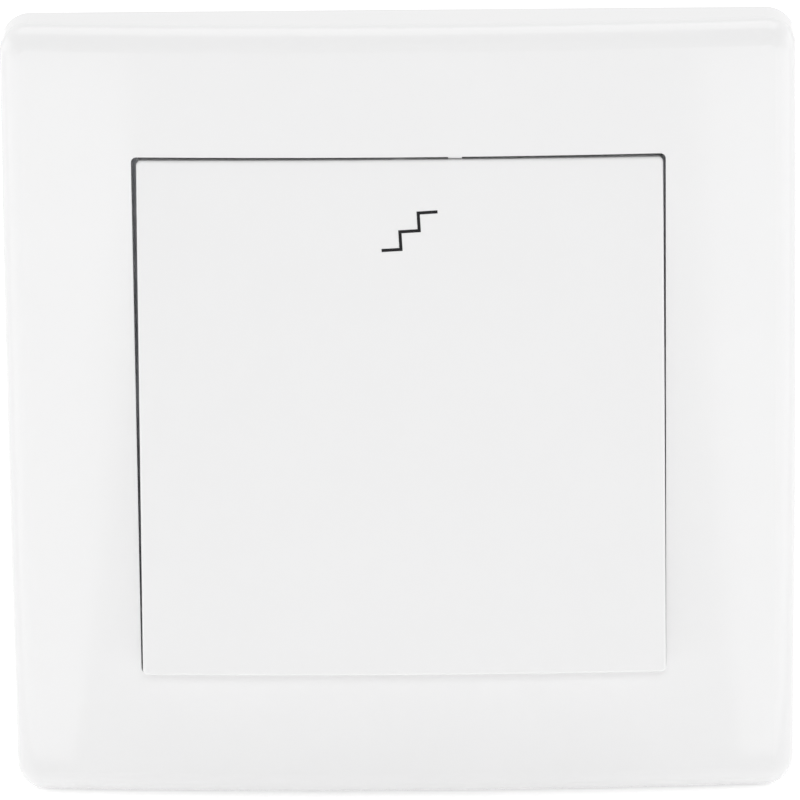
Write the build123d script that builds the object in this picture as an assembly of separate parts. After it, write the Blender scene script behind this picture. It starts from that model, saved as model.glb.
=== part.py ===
from build123d import *
import os
from math import cos, radians, sin, sqrt, tan

# A flush light switch with one rocker that switches between two circuits.
# Millimetres. X is right, Z is up, and the front faces -Y. The wall is the plane Y = 0, so a
# height is a distance in front of the wall and a depth is a distance behind it.
# The origin is the middle of the strap's back, where the wall box's screws are centred.

# Wall box
box_screw_pitch = 60.0
box_slot_width = 3.6
box_slot_length = 4.8

# Mounting strap
strap_edge = 3.1
strap_thickness = 1.0
strap_corner_cut = 8.0
strap_lip_height = 1.6
strap_lip_length = 38.0
strap_window_corner = 2.0
ear_width = 6.0
ear_place = 20.0
ear_gap = 0.5
ear_window_width = 4.0
ear_window_height = 1.5

# Cover frame
plate_margin = 5.5
plate_corner = 3.2
plate_side_bow = 0.2
plate_draft = 3.0
plate_face_height = 8.8
plate_arch_radius = 370.0
plate_front_round = 2.5
plate_wall = 2.0
collar_wall = 1.2
opening_corner = 0.55
opening_draft = 1.0
frame_rib_wall = 1.0
frame_rib_place = 11.0
tongue_wall = 1.2
tongue_catch = 0.55
pry_notch_width = 9.0
pry_notch_height = 1.0
nib_width = 1.4
nib_place = 5.8
nib_length = 3.0
nib_inset = 0.6

# Rocker cap
rocker_width = 53.9
rocker_height = 53.64
rocker_taper = 0.15
rocker_corner = 0.5
rocker_draft = 0.5
rocker_edge_round = 0.25
rocker_proud = 1.7
rocker_skirt = 5.4
rocker_shift = 0.12
rest_tilt = 4.0
side_gap = 0.29
end_gap = 0.27
cap_wall = 1.8
cap_pad_wall = 1.2
cap_pad_height = 0.7
cap_leg_width = 5.0
cap_leg_wall = 1.2
cap_leg_catch = 0.5
cap_leg_place = 6.5

# Rocker cradle
cradle_width = 25.0
cradle_height = 24.0
cradle_wall = 1.6
cradle_rise = 1.5
cheek_wall = 2.0
cheek_height = 8.0
trunnion_radius = 1.25
barrel_wall = 1.35
barrel_end_depth = 6.5
barrel_bore_length = 9.5

# Plunger and spring
plunger_radius = 2.05
plunger_tip_radius = 1.5
plunger_pin_radius = 1.1
plunger_pin_length = 2.2
plunger_body_length = 5.6
spring_wire = 0.5
spring_turns = 5
spring_length = 5.6

# Housing
housing_width = 40.0
housing_height = 44.0
housing_depth = 24.0
housing_wall = 1.8
housing_corner = 4.0
housing_core_wall = 2.0
entry_wall = 2.0
barrier_wall = 1.2
cover_margin = 1.4
cover_wall = 1.6
cover_window_room = 1.5
cover_spigot_edge = 6.5
bearing_wall = 2.5
bearing_lip = 1.25
bearing_wrap = 0.7
rivet_radius = 1.25
rivet_head_radius = 2.2
rivet_head_height = 1.0
rivet_head_round = 0.6
rivet_depth = 10.0
rivet_edge = 4.2
rivet_boss_wall = 1.3
rivet_window_edge = 3.3

# Contacts
strip_thickness = 0.8
strip_width = 4.4
contact_reach = 8.0
contact_radius = 1.5
contact_stem_radius = 0.75
contact_height = 0.75
contact_dome = 5.0
arm_tilt = 6.0
arm_width = 4.0
arm_thickness = 0.6
arm_end = 1.8
fulcrum_radius = 0.8
fulcrum_web = 1.0

# Terminals
terminal_size = 7.0
terminal_length = 6.0
terminal_end_edge = 3.0
terminal_side_edge = 4.5
terminal_chamfer = 0.3
wire_radius = 1.6
wire_entry_radius = 2.1
terminal_screw_radius = 1.25
terminal_screw_out = 1.8
terminal_screw_head_radius = 2.0
terminal_screw_head_height = 1.8

# Claws and their screws
claw_sheet = 1.2
claw_width = 8.0
claw_foot = 5.8
claw_arm_length = 10.0
claw_tip_length = 2.6
claw_tip_flare = 1.3
claw_back_edge = 3.8
claw_collar_radius = 2.4
claw_collar_height = 1.6
claw_tooth_width = 2.0
claw_tooth_depth = 1.5
claw_screw_radius = 1.5
claw_screw_head_radius = 2.7
claw_screw_head_height = 2.0
claw_screw_end = 1.3
rail_wall = 1.2
rail_proud = 3.0
rail_start = 1.5

# Driver slots in the screw heads
driver_slot_width = 0.9
driver_slot_depth = 0.9

# Clearances
running_gap = 0.05
sliding_gap = 0.1
free_gap = 0.3
contact_gap = 0.06
cut_past = 1.0


def arch_drop(x):
    """How far the arched faces fall back at this distance from the middle line."""
    return plate_arch_radius - sqrt(plate_arch_radius**2 - x**2)


# Sizes that follow from those above
strap_size = box_screw_pitch + box_slot_length + 2 * strap_edge
plate_size = strap_size + 2 * plate_margin
ear_height = plate_face_height - plate_wall - arch_drop(ear_place + ear_width / 2) - ear_gap
ear_window_middle = (strap_thickness + ear_height) / 2
tongue_gap = 2 * sliding_gap
frame_clear = strap_thickness + claw_screw_head_height + free_gap
rocker_face_height = plate_face_height + rocker_proud
cap_back_height = rocker_face_height - rocker_skirt
cap_flare = rocker_skirt * tan(radians(rocker_draft))
cradle_front = rocker_face_height - cap_wall - cap_pad_height
cradle_back = cradle_front - cradle_wall
pivot_height = cradle_front - cradle_rise
swing = (rocker_face_height - pivot_height) * sin(radians(rest_tilt))
opening_width = rocker_width + 2 * side_gap
opening_height = rocker_height + 2 * (end_gap + swing)
opening_flare = plate_face_height * tan(radians(opening_draft))
cover_front = strap_thickness + cover_wall
trunnion_length = bearing_wall + 2 * free_gap
bearing_inner = cradle_width / 2 + free_gap
barrel_bore = plunger_radius + sliding_gap
barrel_radius = barrel_bore + barrel_wall
spring_seat = barrel_end_depth - barrel_bore_length
plunger_shoulder = spring_seat + spring_length
ledge_depth = housing_depth - entry_wall - terminal_length
strip_front = ledge_depth - strip_thickness
tip_front = strip_front - contact_height
arm_lean = radians(arm_tilt)
fulcrum_depth = tip_front - contact_gap - contact_height * cos(arm_lean) - contact_reach * sin(arm_lean)
bulge_inner = fulcrum_radius + running_gap
bulge_outer = bulge_inner + arm_thickness
plunger_end = fulcrum_depth - bulge_outer - contact_gap
terminal_x = housing_width / 2 - terminal_side_edge - terminal_size / 2
terminal_z = housing_height / 2 - terminal_end_edge - terminal_size / 2
terminal_middle = ledge_depth + terminal_length / 2
upper_place = (-terminal_x, terminal_z)
lower_place = (-terminal_x, -terminal_z)
common_place = (terminal_x, -terminal_z)
rivet_z = housing_height / 2 - rivet_edge
window_width = housing_width - 2 * cover_spigot_edge
window_height = 2 * (rivet_z - rivet_window_edge)
claw_depth = housing_depth - claw_back_edge
claw_inner = housing_width / 2 + free_gap
claw_screw_x = claw_inner + claw_foot / 2


def prism(outline, y_start, y_end, draft=0.0):
    """Solid of an outline drawn in X and Z, from one place along Y to another."""
    return extrude(Plane.XZ.offset(-y_start) * outline, amount=y_start - y_end, taper=draft)


def rod(radius, x, z, y_start, y_end):
    """Round rod along Y."""
    return prism(Pos(x, z) * Circle(radius), y_start, y_end)


def area(x_low, x_high, z_low, z_high):
    """Rectangle between two places along X and two along Z."""
    middle = Pos((x_low + x_high) / 2, (z_low + z_high) / 2)
    return middle * Rectangle(x_high - x_low, z_high - z_low)


def under_arch(height, inset=0.0):
    """Everything behind an arched face with its crown at this height, or inset from that face."""
    radius = plate_arch_radius - inset
    return Pos(0, radius + inset - height, 0) * Cylinder(radius, 2 * plate_size)


def four_places(x, z):
    """One place and its mirror images about both axes, each with the sign of its Z."""
    return [(x, z, 1), (-x, z, 1), (x, -z, -1), (-x, -z, -1)]


def turned(piece, y, angle):
    """The piece turned about a level line at this place along Y."""
    return Pos(0, y, 0) * Rot(X=angle) * Pos(0, -y, 0) * piece


def on_key(piece):
    """A piece of the tilting key, put in its rest pose with the upper edge pressed in."""
    return Pos(rocker_shift, 0, 0) * turned(piece, -pivot_height, -rest_tilt)


def round_front(solid, radius):
    """Rounds the edges of the arched front face."""
    arched = solid.faces().filter_by(GeomType.CYLINDER).sort_by(SortBy.AREA)[-1]
    return fillet(arched.edges(), radius)


def bowed_outline(size, corner):
    """Plate outline with straight ends, slightly bowed sides and rounded corners."""
    end = size / 2
    side = end - plate_side_bow
    edges = [
        ThreePointArc((side, -end), (end, 0), (side, end)),
        Line((side, end), (-side, end)),
        ThreePointArc((-side, end), (-end, 0), (-side, -end)),
        Line((-side, -end), (side, -end)),
    ]
    outline = make_face(edges)
    return fillet(outline.vertices(), corner)


def make_cover_frame():
    """White plate: an arched shell with a collar round its opening, ribs and snap tongues."""
    past_face = -plate_face_height - cut_past
    shell = prism(bowed_outline(plate_size, plate_corner), 0, past_face, plate_draft)
    shell = round_front(shell & under_arch(plate_face_height), plate_front_round)

    inner_size = plate_size - 2 * plate_wall
    inner = bowed_outline(inner_size, plate_corner - plate_wall)
    hollow = prism(inner, 0, -plate_face_height, plate_draft)
    hollow &= under_arch(plate_face_height, plate_wall)
    collar_width = opening_width + 2 * collar_wall
    collar_height = opening_height + 2 * collar_wall
    collar = RectangleRounded(collar_width, collar_height, opening_corner + collar_wall)
    hollow -= prism(collar, -frame_clear, past_face)
    for place in (-frame_rib_place, frame_rib_place):
        upright = Pos(place, 0) * Rectangle(frame_rib_wall, inner_size)
        level = Pos(0, place) * Rectangle(inner_size, frame_rib_wall)
        hollow -= prism(upright, -frame_clear, past_face)
        hollow -= prism(level, -frame_clear, past_face)
    back_width = opening_width + 2 * opening_flare
    back_height = opening_height + 2 * opening_flare
    opening = RectangleRounded(back_width, back_height, opening_corner + opening_flare)
    frame = shell - hollow - prism(opening, 0, past_face, opening_draft)

    # Snap tongues stand outside the strap's ears and catch in the ears' windows.
    tongue_z = strap_size / 2 + tongue_gap
    catch_half = ear_window_height / 2 - sliding_gap
    catch_width = ear_window_width - 2 * sliding_gap
    catch_length = tongue_gap + tongue_catch
    for x, z, side in four_places(ear_place, tongue_z):
        tongue = Pos(x, z + side * tongue_wall / 2) * Rectangle(ear_width, tongue_wall)
        frame += prism(tongue, -strap_thickness, -plate_face_height) & under_arch(plate_face_height)
        catch = Pos(x, z - side * catch_length / 2) * Rectangle(catch_width, catch_length)
        frame += prism(catch, catch_half - ear_window_middle, -catch_half - ear_window_middle)

    # A notch in the lower rim takes the tip of a screwdriver to lift the plate off.
    rim = Pos(0, -plate_size / 2) * Rectangle(pry_notch_width, 2 * (plate_wall + cut_past))
    frame -= prism(rim, cut_past, -pry_notch_height)

    # A small nib on the opening's upper wall stops the key from rattling.
    nib_tip = opening_height / 2 - end_gap
    nib_root = (opening_height + collar_wall) / 2
    nib_front = nib_inset - plate_face_height
    nib = area(nib_place - nib_width / 2, nib_place + nib_width / 2, nib_tip, nib_root)
    return frame + prism(nib, nib_front + nib_length, nib_front)


def key_outline(width, height, corner):
    """Outline of the key, a little wider at its lower edge than at its upper one."""
    top = height / 2
    upper = (width - rocker_taper) / 2
    lower = (width + rocker_taper) / 2
    outline = Polygon((lower, -top), (upper, top), (-upper, top), (-lower, -top), align=None)
    return fillet(outline.vertices(), corner)


def make_rocker_cap():
    """White key: an arched shell with pads that sit on the cradle and legs that clip round it."""
    back_width = rocker_width + 2 * cap_flare
    back_height = rocker_height + 2 * cap_flare
    outline = key_outline(back_width, back_height, rocker_corner + cap_flare)
    shell = prism(outline, -cap_back_height, -rocker_face_height - sliding_gap, rocker_draft)
    shell = round_front(shell & under_arch(rocker_face_height), rocker_edge_round)

    inner = key_outline(back_width - 2 * cap_wall, back_height - 2 * cap_wall, rocker_corner)
    hollow = prism(inner, -cap_back_height, -rocker_face_height, rocker_draft)
    hollow &= under_arch(rocker_face_height, cap_wall)
    for share in (-1, 1):
        upright = Pos(share * cradle_width / 3, 0) * Rectangle(cap_pad_wall, back_height)
        level = Pos(0, share * cradle_height / 3) * Rectangle(back_width, cap_pad_wall)
        hollow -= prism(upright, -cradle_front, -rocker_face_height)
        hollow -= prism(level, -cradle_front, -rocker_face_height)
    cap = shell - hollow

    leg_z = cradle_height / 2 + sliding_gap + cap_leg_wall / 2
    leg_end = cradle_back - 2 * cap_leg_catch
    catch_length = cap_leg_catch + sliding_gap
    for x, z, side in four_places(cap_leg_place, leg_z):
        leg = Pos(x, z) * Rectangle(cap_leg_width, cap_leg_wall)
        cap += prism(leg, -leg_end, -rocker_face_height) & under_arch(rocker_face_height)
        catch_z = z - side * (cap_leg_wall + catch_length) / 2
        catch = Pos(x, catch_z) * Rectangle(cap_leg_width, catch_length)
        cap += prism(catch, -leg_end, sliding_gap - cradle_back)
    return on_key(cap)


def make_rocker_cradle():
    """Inner rocker: a plate, two cheeks with trunnions, and a barrel for the plunger."""
    plate = RectangleRounded(cradle_width, cradle_height, rocker_corner)
    cradle = prism(plate, -cradle_back, -cradle_front)
    cheek_back = pivot_height - trunnion_radius
    for side in (-1, 1):
        cheek = Pos(side * (cradle_width - cheek_wall) / 2, 0) * Rectangle(cheek_wall, cheek_height)
        cradle += prism(cheek, -cheek_back, -cradle_front)
        trunnion_x = side * (cradle_width + trunnion_length) / 2
        trunnion = Rot(Y=90) * Cylinder(trunnion_radius, trunnion_length)
        cradle += Pos(trunnion_x, -pivot_height, 0) * trunnion
    cradle += rod(barrel_radius, 0, 0, barrel_end_depth, -cradle_front)
    cradle -= rod(barrel_bore, 0, 0, barrel_end_depth, spring_seat)
    return on_key(cradle)


def make_plunger():
    """Turned pin: a guide for the spring, a sliding body and a round tip."""
    body_end = plunger_shoulder + plunger_body_length
    tip_middle = plunger_end - plunger_tip_radius
    plunger = rod(plunger_radius, 0, 0, plunger_shoulder, body_end)
    plunger += rod(plunger_pin_radius, 0, 0, plunger_shoulder - plunger_pin_length, plunger_shoulder)
    plunger += rod(plunger_tip_radius, 0, 0, body_end, tip_middle)
    plunger += Pos(0, tip_middle, 0) * Sphere(plunger_tip_radius)
    return on_key(plunger)


def make_plunger_spring():
    """Coil spring between the end of the barrel's bore and the plunger's shoulder."""
    coil_radius = plunger_radius - sliding_gap - spring_wire / 2
    coil_length = spring_length - spring_wire - sliding_gap
    path = Helix(coil_length / spring_turns, coil_length, coil_radius)
    section = Plane(origin=path @ 0, z_dir=path % 0) * Circle(spring_wire / 2)
    coil = sweep(section, path=path, is_frenet=True)
    first_turn = spring_seat + (spring_wire + sliding_gap) / 2
    return on_key(Pos(0, first_turn, 0) * Rot(X=-90) * coil)


def make_mounting_strap():
    """Pressed steel plate: window, slots for the wall box, stiff lips and four folded ears."""
    plate = chamfer(Rectangle(strap_size, strap_size).vertices(), strap_corner_cut)
    plate -= RectangleRounded(window_width, window_height, strap_window_corner)
    slot = SlotOverall(box_slot_length, box_slot_width)
    for side in (-1, 1):
        plate -= Pos(side * box_screw_pitch / 2, 0) * slot
        plate -= Pos(0, side * box_screw_pitch / 2) * Rot(Z=90) * slot
        plate -= Pos(side * claw_screw_x, 0) * Circle(claw_screw_radius + free_gap)
        plate -= Pos(0, side * rivet_z) * Circle(rivet_radius + running_gap)
    strap = prism(plate, 0, -strap_thickness)

    edge = (strap_size - strap_thickness) / 2
    for side in (-1, 1):
        lip = Pos(side * edge, 0) * Rectangle(strap_thickness, strap_lip_length)
        strap += prism(lip, 0, -strap_thickness - strap_lip_height)
    window_back = ear_window_height / 2 - ear_window_middle
    for x, z, side in four_places(ear_place, edge):
        strap += prism(Pos(x, z) * Rectangle(ear_width, strap_thickness), 0, -ear_height)
        window = Pos(x, z) * Rectangle(ear_window_width, strap_thickness + cut_past)
        strap -= prism(window, window_back, window_back - ear_window_height)
    return strap


def make_housing_base():
    """Moulded body: open in front, with a ledge for the contact strips and terminal pockets."""
    base = prism(RectangleRounded(housing_width, housing_height, housing_corner), housing_depth, 0)
    inner_width = housing_width - 2 * housing_wall
    inner_height = housing_height - 2 * housing_wall
    inner = RectangleRounded(inner_width, inner_height, housing_corner - housing_wall)
    hollow = prism(inner, ledge_depth, -cut_past)
    boss = rivet_radius + rivet_boss_wall
    for side in (-1, 1):
        hollow -= rod(boss, 0, side * rivet_z, ledge_depth, -cut_past)
        web = Pos(0, side * (rivet_z + rivet_edge / 2)) * Rectangle(boss, rivet_edge)
        hollow -= prism(web, ledge_depth, -cut_past)

    # Barriers keep the live strips apart on both sides of the rocking arm.
    barrier_x = strip_width + barrier_wall / 2
    barrier_front = barrel_end_depth + free_gap
    left_end = contact_reach - strip_width / 2 - sliding_gap
    left = Pos(-barrier_x, 0) * Rectangle(barrier_wall, 2 * left_end)
    hollow -= prism(left, ledge_depth, barrier_front)
    right_start = strip_width / 2 + sliding_gap
    right_end = contact_reach + strip_width
    for side in (-1, 1):
        middle = side * (right_start + right_end) / 2
        right = Pos(barrier_x, middle) * Rectangle(barrier_wall, right_end - right_start)
        hollow -= prism(right, ledge_depth, barrier_front)
    base -= hollow

    # Each terminal has a pocket, a wire entry behind it and a hole in the end wall for its screw.
    pocket_size = terminal_size + 2 * sliding_gap
    access = terminal_screw_head_radius + free_gap
    access_end = housing_height / 2 + cut_past
    for x, z in (upper_place, lower_place, common_place):
        base -= prism(Pos(x, z) * Rectangle(pocket_size, pocket_size), ledge_depth + terminal_length, 0)
        base -= rod(wire_entry_radius, x, z, housing_depth + cut_past, ledge_depth)
        access_z = (terminal_z + access_end) / 2 * z / terminal_z
        base -= Pos(x, terminal_middle, access_z) * Cylinder(access, access_end - terminal_z)

    # The back is cored out between the terminals so that the walls stay even.
    core_front = ledge_depth + housing_core_wall
    core_back = housing_depth + cut_past
    pocket_inner = terminal_x - pocket_size / 2
    pocket_end = terminal_z - pocket_size / 2 - housing_core_wall
    core_x = pocket_inner - housing_core_wall
    core_side = housing_width / 2 - housing_core_wall
    core_end = housing_height / 2 - housing_core_wall
    base -= prism(area(-core_x, core_x, -core_end, core_end), core_back, core_front)
    base -= prism(area(-core_side, -pocket_inner, -pocket_end, pocket_end), core_back, core_front)
    base -= prism(area(pocket_inner, core_side, -pocket_end, rivet_z), core_back, core_front)

    for side in (-1, 1):
        base -= rod(rivet_radius + running_gap, 0, side * rivet_z, rivet_depth, -cut_past)

    # Rails on both sides keep the claws from turning with their screws.
    rail_x = (housing_width + rail_proud - housing_wall) / 2
    rail_z = claw_width / 2 + free_gap + rail_wall / 2
    for x, z, side in four_places(rail_x, rail_z):
        rail = Pos(x, z) * Rectangle(rail_proud + housing_wall, rail_wall)
        base += prism(rail, housing_depth, rail_start)
    return base


def make_housing_cover():
    """Front plate of the housing, with two open bearings that the trunnions snap into."""
    width = housing_width - 2 * cover_margin
    height = housing_height - 2 * cover_margin
    plate = RectangleRounded(width, height, housing_corner - cover_margin)
    cover = prism(plate, -strap_thickness, -cover_front)
    spigot_width = window_width - 2 * sliding_gap
    spigot_height = window_height - 2 * sliding_gap
    cover += prism(RectangleRounded(spigot_width, spigot_height, strap_window_corner), 0, -cover_front)

    bearing_front = pivot_height + bearing_wrap * trunnion_radius
    bearing_height = 2 * (trunnion_radius + bearing_lip)
    for side in (-1, 1):
        bearing_x = side * (bearing_inner + bearing_wall / 2)
        block = Pos(bearing_x, 0) * Rectangle(bearing_wall, bearing_height)
        cover += prism(block, -cover_front, -bearing_front)
        hole = Rot(Y=90) * Cylinder(trunnion_radius + running_gap, bearing_wall)
        cover -= Pos(bearing_x, -pivot_height, 0) * hole
        cover -= rod(rivet_radius + running_gap, 0, side * rivet_z, cut_past, -cover_front - cut_past)
    window_size = 2 * (barrel_radius + cover_window_room)
    window = RectangleRounded(window_size, window_size, cover_window_room)
    return cover - prism(window, cut_past, -cover_front - cut_past)


def make_housing_rivets():
    """Two rivets that hold cover, strap and body together."""
    rivets = []
    for side in (-1, 1):
        head = rod(rivet_head_radius, 0, side * rivet_z, -cover_front, -cover_front - rivet_head_height)
        head = fillet(head.edges().sort_by(Axis.Y)[0], rivet_head_round)
        rivets.append(head + rod(rivet_radius, 0, side * rivet_z, rivet_depth - free_gap, -cover_front))
    return rivets


def make_contact_arm():
    """Rocking strip, bent round the ridge in its middle."""
    end = contact_reach + arm_end
    front = fulcrum_depth - arm_thickness
    foot = sqrt(bulge_outer**2 - arm_thickness**2)
    back = fulcrum_depth
    edges = [
        Line((-end, back), (-bulge_inner, back)),
        ThreePointArc((-bulge_inner, back), (0, back - bulge_inner), (bulge_inner, back)),
        Line((bulge_inner, back), (end, back)),
        Line((end, back), (end, front)),
        Line((end, front), (foot, front)),
        ThreePointArc((foot, front), (0, back - bulge_outer), (-foot, front)),
        Line((-foot, front), (-end, front)),
        Line((-end, front), (-end, back)),
    ]
    side_view = Plane(origin=(arm_width / 2, 0, 0), x_dir=(0, 0, 1), z_dir=(-1, 0, 0))
    arm = extrude(side_view * make_face(edges), amount=arm_width)
    for side in (-1, 1):
        arm -= rod(contact_stem_radius, 0, side * contact_reach, back + cut_past, front - cut_past)
    return turned(arm, fulcrum_depth, arm_tilt)


def make_arm_contacts():
    """Two contact rivets in the arm's holes."""
    stem = contact_stem_radius - running_gap
    contacts = []
    for side in (-1, 1):
        z = side * contact_reach
        contact = rod(contact_radius, 0, z, fulcrum_depth + contact_height, fulcrum_depth)
        contact += rod(stem, 0, z, fulcrum_depth, fulcrum_depth - arm_thickness)
        contacts.append(turned(contact, fulcrum_depth, arm_tilt))
    return contacts


def make_contact_strip(side):
    """Fixed contact: a flat strip that lies on its terminal and on the ledge."""
    x, z = upper_place
    half = terminal_size / 2
    low = contact_reach - strip_width / 2
    outline = area(x - half, x + half, z - half, z + half)
    outline += area(x - half, x - half + strip_width, low, z)
    outline += area(x - half, strip_width / 2, low, low + strip_width)
    outline -= Pos(0, contact_reach) * Circle(contact_stem_radius)
    strip = prism(outline, ledge_depth, strip_front)
    return strip if side > 0 else mirror(strip, about=Plane.XY)


def make_fixed_contact_tips():
    """Two domed contact rivets in the fixed strips."""
    stem = contact_stem_radius - running_gap
    tips = []
    for side in (-1, 1):
        z = side * contact_reach
        tip = rod(contact_radius, 0, z, strip_front, tip_front)
        tip &= Pos(0, tip_front + contact_dome, z) * Sphere(contact_dome)
        tips.append(tip + rod(stem, 0, z, ledge_depth, strip_front))
    return tips


def make_common_bracket():
    """Strip from the common terminal to the ridge that the arm rocks on."""
    x, z = common_place
    half = terminal_size / 2
    edge = strip_width / 2
    outline = area(x - half, x + half, z - half, z + half)
    outline += area(x - edge, x + edge, z, edge)
    outline += area(-edge, x + edge, -edge, edge)
    bracket = prism(outline, ledge_depth, strip_front)
    bracket += prism(Rectangle(arm_width, fulcrum_web), strip_front, fulcrum_depth)
    return bracket + Pos(0, fulcrum_depth, 0) * Rot(Y=90) * Cylinder(fulcrum_radius, arm_width)


def make_terminal(place):
    """Brass block with a bore for the wire and a tapped hole for its screw."""
    x, z = place
    outline = Pos(x, z) * Rectangle(terminal_size, terminal_size)
    block = prism(outline, ledge_depth + terminal_length, ledge_depth)
    block = chamfer(block.edges().filter_by(Axis.Y), terminal_chamfer)
    block -= rod(wire_radius, x, z, ledge_depth + terminal_length, ledge_depth)
    tapped_z = z + terminal_size / 4 * z / terminal_z
    tapped = Cylinder(terminal_screw_radius + running_gap, terminal_size / 2)
    return block - Pos(x, terminal_middle, tapped_z) * tapped


def make_terminal_screws():
    """Three clamping screws, backed out so that the wire bores are free."""
    tip = wire_radius + sliding_gap
    head = terminal_size / 2 + terminal_screw_out
    top = head + terminal_screw_head_height
    shank = Pos(0, 0, (tip + head) / 2) * Cylinder(terminal_screw_radius, head - tip)
    cap = Pos(0, 0, (head + top) / 2) * Cylinder(terminal_screw_head_radius, terminal_screw_head_height)
    slot = Box(3 * terminal_screw_head_radius, driver_slot_width, 2 * driver_slot_depth)
    screw = shank + cap - Pos(0, 0, top) * slot
    screws = []
    for x, z in (upper_place, lower_place, common_place):
        outward = screw if z > 0 else mirror(screw, about=Plane.XY)
        screws.append(Pos(x, terminal_middle, z) * outward)
    return screws


def make_claw(side):
    """Bent sheet claw: a foot on the screw, an arm along the housing and a toothed tip."""
    arm_x = claw_inner + claw_foot - claw_sheet / 2
    foot_y = claw_depth - claw_sheet / 2
    arm_y = foot_y - claw_arm_length
    tip_x = arm_x + claw_tip_flare
    tip_y = arm_y - claw_tip_length
    middle_line = [(claw_inner, foot_y), (arm_x, foot_y), (arm_x, arm_y), (tip_x, tip_y)]
    bends = FilletPolyline(*middle_line, radius=claw_sheet)
    claw = extrude(trace(bends, claw_sheet), amount=claw_width / 2, both=True)
    foot_front = claw_depth - claw_sheet
    claw += rod(claw_collar_radius, claw_screw_x, 0, foot_front, foot_front - claw_collar_height)
    claw -= rod(claw_screw_radius + running_gap, claw_screw_x, 0, claw_depth + cut_past, arm_y)
    half = claw_tooth_width / 2
    notch = make_face(Polyline((-half, 0), (half, 0), (0, claw_tooth_depth), close=True))
    for place in (-claw_width / 4, claw_width / 4):
        front = Plane(origin=(arm_x, tip_y - claw_sheet / 2, place), x_dir=(0, 0, 1), z_dir=(-1, 0, 0))
        claw -= extrude(front * notch, amount=claw_foot, both=True)
    return claw if side > 0 else mirror(claw, about=Plane.YZ)


def make_claw_screw(side):
    """Screw that draws a claw forward, with its head on the strap."""
    x = side * claw_screw_x
    front = -strap_thickness - claw_screw_head_height
    head = rod(claw_screw_head_radius, x, 0, -strap_thickness, front)
    head = fillet(head.edges().sort_by(Axis.Y)[0], claw_screw_head_height / 2)
    screw = head + rod(claw_screw_radius, x, 0, claw_depth + claw_screw_end, -strap_thickness)
    slot = Pos(x, 0) * Rectangle(driver_slot_width, 3 * claw_screw_head_radius)
    return screw - prism(slot, front + driver_slot_depth, front - cut_past)


pieces = {
    "cover_frame": make_cover_frame(),
    "rocker_cap": make_rocker_cap(),
    "rocker_cradle": make_rocker_cradle(),
    "plunger": make_plunger(),
    "plunger_spring": make_plunger_spring(),
    "mounting_strap": make_mounting_strap(),
    "housing_base": make_housing_base(),
    "housing_cover": make_housing_cover(),
    "housing_rivets": make_housing_rivets(),
    "contact_arm": make_contact_arm(),
    "arm_contacts": make_arm_contacts(),
    "common_bracket": make_common_bracket(),
    "upper_contact_strip": make_contact_strip(1),
    "lower_contact_strip": make_contact_strip(-1),
    "fixed_contact_tips": make_fixed_contact_tips(),
    "upper_terminal": make_terminal(upper_place),
    "lower_terminal": make_terminal(lower_place),
    "common_terminal": make_terminal(common_place),
    "terminal_screws": make_terminal_screws(),
    "left_claw": make_claw(-1),
    "right_claw": make_claw(1),
    "left_claw_screw": make_claw_screw(-1),
    "right_claw_screw": make_claw_screw(1),
}

os.makedirs("parts", exist_ok=True)
for name, piece in pieces.items():
    shape = Compound(children=piece) if isinstance(piece, list) else piece
    export_step(shape, f"parts/{name}.step")
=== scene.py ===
from math import cos, pi, radians, sin

import bmesh
import bpy
from mathutils import Matrix, Vector


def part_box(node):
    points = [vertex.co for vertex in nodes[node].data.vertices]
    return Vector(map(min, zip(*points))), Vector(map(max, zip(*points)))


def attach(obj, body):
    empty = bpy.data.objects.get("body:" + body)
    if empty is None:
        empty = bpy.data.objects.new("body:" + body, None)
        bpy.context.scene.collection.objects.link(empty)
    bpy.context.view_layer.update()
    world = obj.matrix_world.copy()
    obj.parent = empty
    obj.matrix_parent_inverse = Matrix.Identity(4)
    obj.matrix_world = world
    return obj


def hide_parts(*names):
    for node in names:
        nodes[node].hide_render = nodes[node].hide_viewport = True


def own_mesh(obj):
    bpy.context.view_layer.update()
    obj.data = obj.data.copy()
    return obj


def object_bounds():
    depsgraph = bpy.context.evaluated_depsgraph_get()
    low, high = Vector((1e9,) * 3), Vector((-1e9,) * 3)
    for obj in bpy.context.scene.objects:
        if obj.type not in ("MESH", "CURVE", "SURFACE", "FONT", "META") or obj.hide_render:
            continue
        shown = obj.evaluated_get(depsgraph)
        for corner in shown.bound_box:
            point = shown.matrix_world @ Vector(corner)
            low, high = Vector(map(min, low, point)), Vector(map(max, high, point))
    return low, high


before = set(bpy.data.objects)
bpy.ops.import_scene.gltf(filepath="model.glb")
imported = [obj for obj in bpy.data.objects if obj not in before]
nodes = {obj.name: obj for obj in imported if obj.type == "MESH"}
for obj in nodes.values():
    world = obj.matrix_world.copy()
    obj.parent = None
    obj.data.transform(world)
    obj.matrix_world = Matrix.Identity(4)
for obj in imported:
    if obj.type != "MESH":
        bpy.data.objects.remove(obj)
solid_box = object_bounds()

# Housing base: the body that sits in the wall box, with the terminals and contacts inside.
# It is pressed from off-white mineral-filled plastic with a dull, faintly speckled skin.
mm = 0.001


def new_finish(name):
    """A new material with its node tree, its shader and the place of each point on the piece."""
    material = bpy.data.materials.new(name)
    material.use_nodes = True
    tree = material.node_tree
    place = tree.nodes.new("ShaderNodeTexCoord").outputs["Object"]
    return material, tree, tree.nodes["Principled BSDF"], place


def noise(tree, place, scale, detail):
    """Cloudy noise over the surface."""
    pattern = tree.nodes.new("ShaderNodeTexNoise")
    pattern.inputs["Scale"].default_value = scale
    pattern.inputs["Detail"].default_value = detail
    tree.links.new(place, pattern.inputs["Vector"])
    return pattern.outputs["Fac"]


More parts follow.
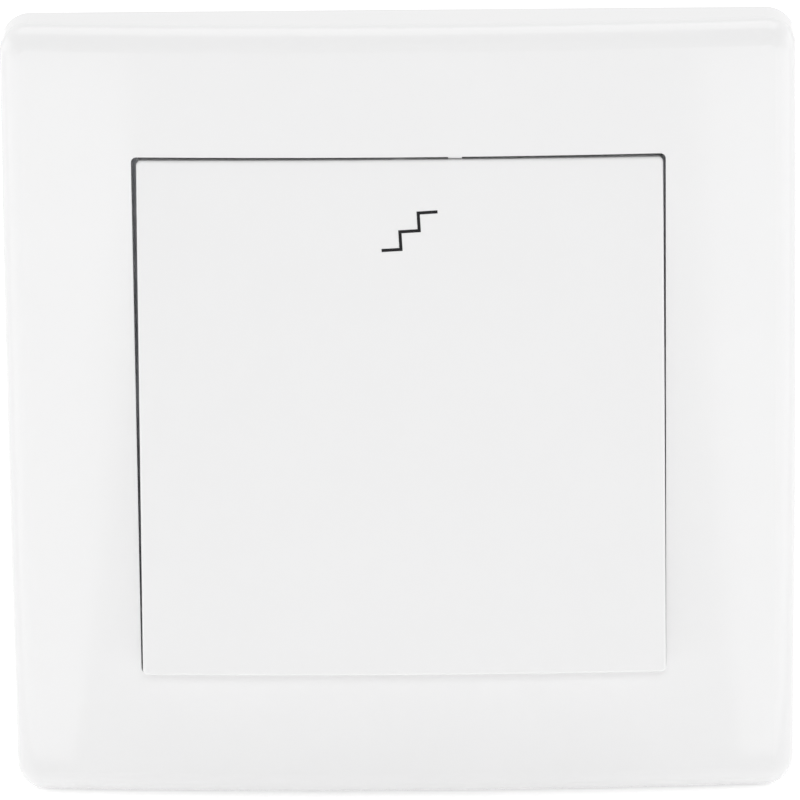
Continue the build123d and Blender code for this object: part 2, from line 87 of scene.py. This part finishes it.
def cloudy_colour(tree, shader, clouds, dark, pale, low, high):
    """Lets the colour drift from a dark shade to a pale one with the clouds."""
    shades = tree.nodes.new("ShaderNodeValToRGB")
    shades.color_ramp.elements[0].position = low
    shades.color_ramp.elements[0].color = (*dark, 1.0)
    shades.color_ramp.elements[1].position = high
    shades.color_ramp.elements[1].color = (*pale, 1.0)
    tree.links.new(clouds, shades.inputs["Fac"])
    tree.links.new(shades.outputs["Color"], shader.inputs["Base Color"])


def uneven_gloss(tree, shader, smears, gloss):
    """Lets the roughness drift between two values with the smears."""
    polish = tree.nodes.new("ShaderNodeMapRange")
    polish.inputs["To Min"].default_value = gloss[0]
    polish.inputs["To Max"].default_value = gloss[1]
    tree.links.new(smears, polish.inputs["Value"])
    tree.links.new(polish.outputs["Result"], shader.inputs["Roughness"])


def fine_skin(tree, shader, grain, strength, height):
    """Raises a fine grain on the surface."""
    skin = tree.nodes.new("ShaderNodeBump")
    skin.inputs["Strength"].default_value = strength
    skin.inputs["Distance"].default_value = height
    tree.links.new(grain, skin.inputs["Height"])
    tree.links.new(skin.outputs["Normal"], shader.inputs["Normal"])


def moulded_plastic(name, pale, dark, gloss, grain_size, grain_height):
    """Moulded plastic: soft colour clouds, uneven gloss and a fine grain from the tool."""
    material, tree, shader, place = new_finish(name)
    shader.inputs["IOR"].default_value = 1.5
    clouds = noise(tree, place, scale=90.0, detail=4.0)
    cloudy_colour(tree, shader, clouds, dark, pale, low=0.3, high=0.7)
    smears = noise(tree, place, scale=260.0, detail=3.0)
    uneven_gloss(tree, shader, smears, gloss)
    grain = noise(tree, place, scale=1.0 / grain_size, detail=2.0)
    fine_skin(tree, shader, grain, strength=0.5, height=grain_height)
    return material


def dress(node, material):
    """Gives a solid of the part its finish."""
    nodes[node].data.materials.clear()
    nodes[node].data.materials.append(material)


housing_plastic = moulded_plastic(
    "housing_plastic",
    pale=(0.70, 0.69, 0.65),
    dark=(0.63, 0.62, 0.58),
    gloss=(0.42, 0.58),
    grain_size=0.25 * mm,
    grain_height=0.02 * mm,
)
dress("housing_base", housing_plastic)

# Terminals, contact strips and the rocking arm: cut and bent from plain brass.
# The blocks drop into the housing's pockets and the strips lie on its ledge.


def bare_metal(name, bright, dull, gloss, cloud_size, brush):
    """Bare or plated metal: bright and dull clouds, drawn out along the way it was rolled."""
    material, tree, shader, place = new_finish(name)
    shader.inputs["Metallic"].default_value = 1.0
    clouds = noise(tree, place, scale=1.0 / cloud_size, detail=5.0)
    cloudy_colour(tree, shader, clouds, dull, bright, low=0.32, high=0.68)
    rolled = tree.nodes.new("ShaderNodeMapping")
    rolled.inputs["Scale"].default_value = brush
    tree.links.new(place, rolled.inputs["Vector"])
    lines = noise(tree, rolled.outputs["Vector"], scale=1.0, detail=3.0)
    uneven_gloss(tree, shader, lines, gloss)
    fine_skin(tree, shader, lines, strength=0.3, height=0.01 * mm)
    return material


brass = bare_metal(
    "brass",
    bright=(0.83, 0.63, 0.29),
    dull=(0.62, 0.44, 0.18),
    gloss=(0.22, 0.42),
    cloud_size=2.5 * mm,
    brush=(900, 900, 5000),
)
for node in (
    "upper_terminal",
    "lower_terminal",
    "common_terminal",
    "upper_contact_strip",
    "lower_contact_strip",
    "common_bracket",
    "contact_arm",
):
    dress(node, brass)

# Contact rivets: silver-faced buttons, headed cold from wire.
# Two are riveted into the ends of the arm and two into the fixed strips.
silver_contact = bare_metal(
    "silver_contact",
    bright=(0.90, 0.89, 0.86),
    dull=(0.72, 0.70, 0.66),
    gloss=(0.18, 0.34),
    cloud_size=0.8 * mm,
    brush=(4000, 4000, 4000),
)
dress("arm_contacts", silver_contact)
dress("fixed_contact_tips", silver_contact)

# Terminal screws and housing rivets: steel with a bright zinc coat.
# The screws clamp the wires in the brass blocks, and the rivets hold cover, strap and base together.
zinc_steel = bare_metal(
    "zinc_steel",
    bright=(0.68, 0.69, 0.71),
    dull=(0.54, 0.55, 0.58),
    gloss=(0.24, 0.44),
    cloud_size=3.0 * mm,
    brush=(700, 700, 4500),
)
dress("terminal_screws", zinc_steel)
dress("housing_rivets", zinc_steel)

# Mounting strap: pressed from sheet steel with a dull zinc coat, painted darker than the screws' zinc
# as painted shade, so the gaps round the key, where the strap shows through, look dark.
# The two rivets clamp it between the housing and its cover.
gap_shade_zinc = bare_metal(
    "gap_shade_zinc",
    bright=(0.60, 0.61, 0.63),
    dull=(0.47, 0.48, 0.51),
    gloss=(0.36, 0.54),
    cloud_size=4.0 * mm,
    brush=(600, 600, 3500),
)
dress("mounting_strap", gap_shade_zinc)

# Housing cover: the front plate with the two snap bearings for the cradle.
# It is moulded in the same plastic as the base, and the rivets pull it down on the strap.
dress("housing_cover", housing_plastic)

# Cradle and plunger: the cradle snaps into the bearings and its sprung plunger pushes the arm over.
# Both are moulded in pale grey slippery plastic.
grey_plastic = moulded_plastic(
    "grey_plastic",
    pale=(0.40, 0.41, 0.42),
    dark=(0.35, 0.36, 0.37),
    gloss=(0.36, 0.50),
    grain_size=0.2 * mm,
    grain_height=0.01 * mm,
)
dress("rocker_cradle", grey_plastic)
dress("plunger", grey_plastic)

# Plunger spring: five turns of bright wire, wound round the plunger's pin inside the barrel.
# It stands in for its solid, which is hidden, and rides with the rocker.
spring_steel = bare_metal(
    "spring_steel",
    bright=(0.56, 0.56, 0.58),
    dull=(0.40, 0.40, 0.42),
    gloss=(0.20, 0.36),
    cloud_size=1.0 * mm,
    brush=(2500, 2500, 2500),
)
key_tilt = radians(4.0)
key_pivot = Vector((0.12 * mm, -6.5 * mm, 0.0))
spring_axis = Vector((0.0, cos(key_tilt), -sin(key_tilt)))
spring_seat = key_pivot + spring_axis * 3.5 * mm
wire_radius = 0.25 * mm
wire_sides = 12
coil_radius = 1.7 * mm
coil_start = 0.3 * mm
coil_pitch = 1.0 * mm
coil_turns = 5
steps_per_coil = 32


def wind(bm, section, middle, pitch, turns, steps_per_turn):
    """Winds a closed section into a helix along Y and closes its far end."""
    wound = bmesh.ops.spin(
        bm,
        geom=section + bm.edges[:],
        cent=middle,
        axis=(0, 1, 0),
        dvec=(0, pitch / steps_per_turn, 0),
        angle=2 * pi * turns,
        steps=turns * steps_per_turn,
        use_merge=False,
    )
    far_end = [item for item in wound["geom_last"] if isinstance(item, bmesh.types.BMVert)]
    bmesh.ops.contextual_create(bm, geom=far_end)


def finished_piece(name, bm, material):
    """Turns a bmesh into a piece of the scene, with its faces outwards."""
    bmesh.ops.recalc_face_normals(bm, faces=bm.faces)
    mesh = bpy.data.meshes.new(name)
    bm.to_mesh(mesh)
    bm.free()
    mesh.materials.append(material)
    piece = bpy.data.objects.new(name, mesh)
    bpy.context.scene.collection.objects.link(piece)
    return piece


bm = bmesh.new()
section = bmesh.ops.create_circle(bm, cap_ends=True, segments=wire_sides, radius=wire_radius)["verts"]
bmesh.ops.translate(bm, verts=section, vec=(coil_radius, coil_start, 0.0))
wind(bm, section, (0, 0, 0), coil_pitch, coil_turns, steps_per_coil)
bmesh.ops.rotate(bm, verts=bm.verts, cent=(0, 0, 0), matrix=Matrix.Rotation(-key_tilt, 3, "X"))
bmesh.ops.translate(bm, verts=bm.verts, vec=spring_seat)
spring_coil = finished_piece("spring_coil", bm, spring_steel)
spring_coil.data.shade_smooth()
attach(spring_coil, "rocker")
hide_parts("plunger_spring")
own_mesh(spring_coil)

# Claws and their screws: bent zinc-plated claws that grip the wall box.
# Each is drawn forward by a long screw, whose rolled thread is added on the plain shank.
for node in ("left_claw", "right_claw", "left_claw_screw", "right_claw_screw"):
    dress(node, zinc_steel)
thread_pitch = 0.5 * mm
thread_root = 1.44 * mm
thread_crest = 1.54 * mm
thread_start = 1.2 * mm
thread_turns = 40
steps_per_turn = 24
flank_shares = [(thread_root, 0.0), (thread_crest, 0.34), (thread_crest, 0.46), (thread_root, 0.8)]


def rolled_thread(name, screw):
    """A closed helical ridge round the shank of a claw screw."""
    low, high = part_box(screw)
    middle = (low + high) / 2
    bm = bmesh.new()
    section = [
        bm.verts.new((middle.x + radius, thread_start + share * thread_pitch, middle.z))
        for radius, share in flank_shares
    ]
    bm.faces.new(section)
    wind(bm, section, middle, thread_pitch, thread_turns, steps_per_turn)
    ridge = finished_piece(name, bm, zinc_steel)
    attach(ridge, screw)


rolled_thread("left_claw_thread", "left_claw_screw")
rolled_thread("right_claw_thread", "right_claw_screw")

# Key: the wide rocker cap, moulded in glossy white plastic.
# It clips onto the cradle and is arched like the plate round it.
white_plastic = moulded_plastic(
    "white_plastic",
    pale=(0.873, 0.872, 0.874),
    dark=(0.867, 0.866, 0.868),
    gloss=(0.07, 0.12),
    grain_size=0.35 * mm,
    grain_height=0.0005 * mm,
)
dress("rocker_cap", white_plastic)

# Stair sign: three treads and two risers in dark grey ink, pad-printed on the key near its top.
# It marks a switch that works one lamp together with a second switch, and sits slightly askew.
sign_ink = moulded_plastic(
    "sign_ink",
    pale=(0.020, 0.020, 0.022),
    dark=(0.015, 0.015, 0.016),
    gloss=(0.50, 0.65),
    grain_size=0.05 * mm,
    grain_height=0.004 * mm,
)
sign_ink.node_tree.nodes["Principled BSDF"].inputs["Specular IOR Level"].default_value = 0.15
sign_start_x = -1.765 * mm
sign_start_z = 17.78 * mm
sign_turn = radians(3.0)
tread = 1.979 * mm
riser = 1.812 * mm
half_line = 0.16 * mm
ink_height = 0.02 * mm
before_key = -0.05
treads = [tread * count for count in range(4)]
risers = [riser * count for count in range(3)]
outline = [(treads[0], risers[0] - half_line)]
for count in (1, 2):
    outline.append((treads[count] + half_line, risers[count - 1] - half_line))
    outline.append((treads[count] + half_line, risers[count] - half_line))
outline.append((treads[3], risers[2] - half_line))
outline.append((treads[3], risers[2] + half_line))
for count in (2, 1):
    outline.append((treads[count] - half_line, risers[count] + half_line))
    outline.append((treads[count] - half_line, risers[count - 1] + half_line))
outline.append((treads[0], risers[0] + half_line))

bm = bmesh.new()
corners = []
for along, up in outline:
    x = sign_start_x + along * cos(sign_turn) - up * sin(sign_turn)
    z = sign_start_z + along * sin(sign_turn) + up * cos(sign_turn)
    hit = nodes["rocker_cap"].ray_cast(Vector((x, before_key, z)), Vector((0, 1, 0)))
    spot, outward = hit[1:3]
    corners.append(bm.verts.new(spot))
back = bm.faces.new(corners)
raised = bmesh.ops.extrude_face_region(bm, geom=[back], use_keep_orig=True)
front = [item for item in raised["geom"] if isinstance(item, bmesh.types.BMVert)]
bmesh.ops.translate(bm, verts=front, vec=outward * ink_height)
stair_sign = finished_piece("stair_sign", bm, sign_ink)
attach(stair_sign, "rocker")

# Cover frame: the square plate round the key, moulded in the same white plastic.
# Its four snap tongues catch in the strap's ears, so it is pushed on last.
dress("cover_frame", white_plastic)

# Studio: a pale, faintly glowing floor in an even white surround. A small soft box stands above the
# camera, a large one hangs overhead, and two at the sides light the rims of the plate.
# Two cards lie on the floor in front. They glow only where they are mirrored, a painted reflection
# that lightens the plate's sides.
sheet_white = (0.95, 0.95, 0.95, 1.0)
pure_white = (1.0, 1.0, 1.0, 1.0)
sheet_glow = 0.23
glow_when_seen = 0.11
card_painted_reflection = 0.85


def seen_directly(tree):
    """A value of 1 for rays from the camera, a mirror-like face or a clear one, else 0."""
    path = tree.nodes.new("ShaderNodeLightPath")
    seen = path.outputs["Is Camera Ray"]
    for ray in ("Is Glossy Ray", "Is Transmission Ray"):
        either = tree.nodes.new("ShaderNodeMath")
        either.operation = "MAXIMUM"
        tree.links.new(seen, either.inputs[0])
        tree.links.new(path.outputs[ray], either.inputs[1])
        seen = either.outputs[0]
    return seen


def pale_surface(name, mirrored):
    """Matt white sheet that glows a little, more where it is looked at, and more again where it is
    mirrored: a painted reflection.
    """
    material = bpy.data.materials.new(name)
    material.use_nodes = True
    tree = material.node_tree
    shader = tree.nodes["Principled BSDF"]
    shader.inputs["Base Color"].default_value = sheet_white
    shader.inputs["Roughness"].default_value = 0.7
    shader.inputs["Specular IOR Level"].default_value = 0.2
    shader.inputs["Emission Color"].default_value = pure_white
    glow = tree.nodes.new("ShaderNodeMath")
    glow.operation = "MULTIPLY_ADD"
    glow.inputs[1].default_value = glow_when_seen
    glow.inputs[2].default_value = sheet_glow
    path = tree.nodes.new("ShaderNodeLightPath")
    shine = tree.nodes.new("ShaderNodeMath")
    shine.operation = "MULTIPLY_ADD"
    shine.inputs[1].default_value = mirrored
    tree.links.new(seen_directly(tree), glow.inputs[0])
    tree.links.new(path.outputs["Is Glossy Ray"], shine.inputs[0])
    tree.links.new(glow.outputs[0], shine.inputs[2])
    tree.links.new(shine.outputs[0], shader.inputs["Emission Strength"])
    return material


def lay_out(name, corners, material):
    """A flat sheet on the ground, given by its corners."""
    bm = bmesh.new()
    bm.faces.new([bm.verts.new(corner) for corner in corners])
    sheet = finished_piece(name, bm, material)


ground = solid_box[0].z
floor_reach = 3.0
floor_corners = [
    (-floor_reach, -floor_reach, ground),
    (floor_reach, -floor_reach, ground),
    (floor_reach, floor_reach, ground),
    (-floor_reach, floor_reach, ground),
]
lay_out("floor", floor_corners, pale_surface("floor", 0.0))
# The cards' extra glow shows only in reflections: a painted reflection on the plate's sides.
painted_reflection_card = pale_surface("painted_reflection_card", card_painted_reflection)
card_height = ground + 0.02 * mm
card_back = -0.02
card_front = -0.41
inside_back = 0.038
inside_front = 0.112
outside = 0.6
for name, side in (("card_left", -1), ("card_right", 1)):
    card_corners = [
        (side * inside_back, card_back, card_height),
        (side * inside_front, card_front, card_height),
        (side * outside, card_front, card_height),
        (side * outside, card_back, card_height),
    ]
    lay_out(name, card_corners, painted_reflection_card)

surround = bpy.data.worlds.new("surround")
bpy.context.scene.world = surround
surround.use_nodes = True
tree = surround.node_tree
ambient = tree.nodes["Background"]
ambient.inputs["Color"].default_value = pure_white
ambient.inputs["Strength"].default_value = 0.58
white = tree.nodes.new("ShaderNodeBackground")
white.inputs["Color"].default_value = pure_white
white.inputs["Strength"].default_value = 1.0
either = tree.nodes.new("ShaderNodeMixShader")
tree.links.new(seen_directly(tree), either.inputs["Fac"])
tree.links.new(ambient.outputs[0], either.inputs[1])
tree.links.new(white.outputs[0], either.inputs[2])
tree.links.new(either.outputs[0], tree.nodes["World Output"].inputs["Surface"])

soft_boxes = {
    "box_front": ((0.05, -1.6, 0.72), (0.5, 0.3), 3.8),
    "box_above": ((0.0, 0.15, 1.25), (1.6, 1.0), 5.8),
    "box_left": ((-1.2, 0.15, 0.25), (1.2, 0.6), 2.2),
    "box_right": ((1.2, 0.15, 0.25), (1.2, 0.6), 2.1),
}
for name, (place, (width, height), power) in soft_boxes.items():
    lamp = bpy.data.lights.new(name, "AREA")
    lamp.shape = "RECTANGLE"
    lamp.size = width
    lamp.size_y = height
    lamp.energy = power
    box = bpy.data.objects.new(name, lamp)
    box.location = place
    box.rotation_euler = (-Vector(place)).to_track_quat("-Z", "Y").to_euler()
    box.visible_glossy = name != "box_front"
    bpy.context.scene.collection.objects.link(box)

# Camera: the photograph's view, through a long lens.
# It stands a little above the switch and to the right of its middle, and looks slightly down.
camera = bpy.data.cameras.new("camera")
camera.lens = 293.0156
camera.sensor_width = 36.0
camera.clip_start = 0.01
stand = bpy.data.objects.new("camera", camera)
stand.location = (0.0094172, -0.657283, 0.1638235)
stand.rotation_euler = (radians(75.98413), radians(0.613186), radians(0.684483))
bpy.context.scene.collection.objects.link(stand)
bpy.context.scene.camera = stand
bpy.context.scene.view_settings.view_transform = "Standard"
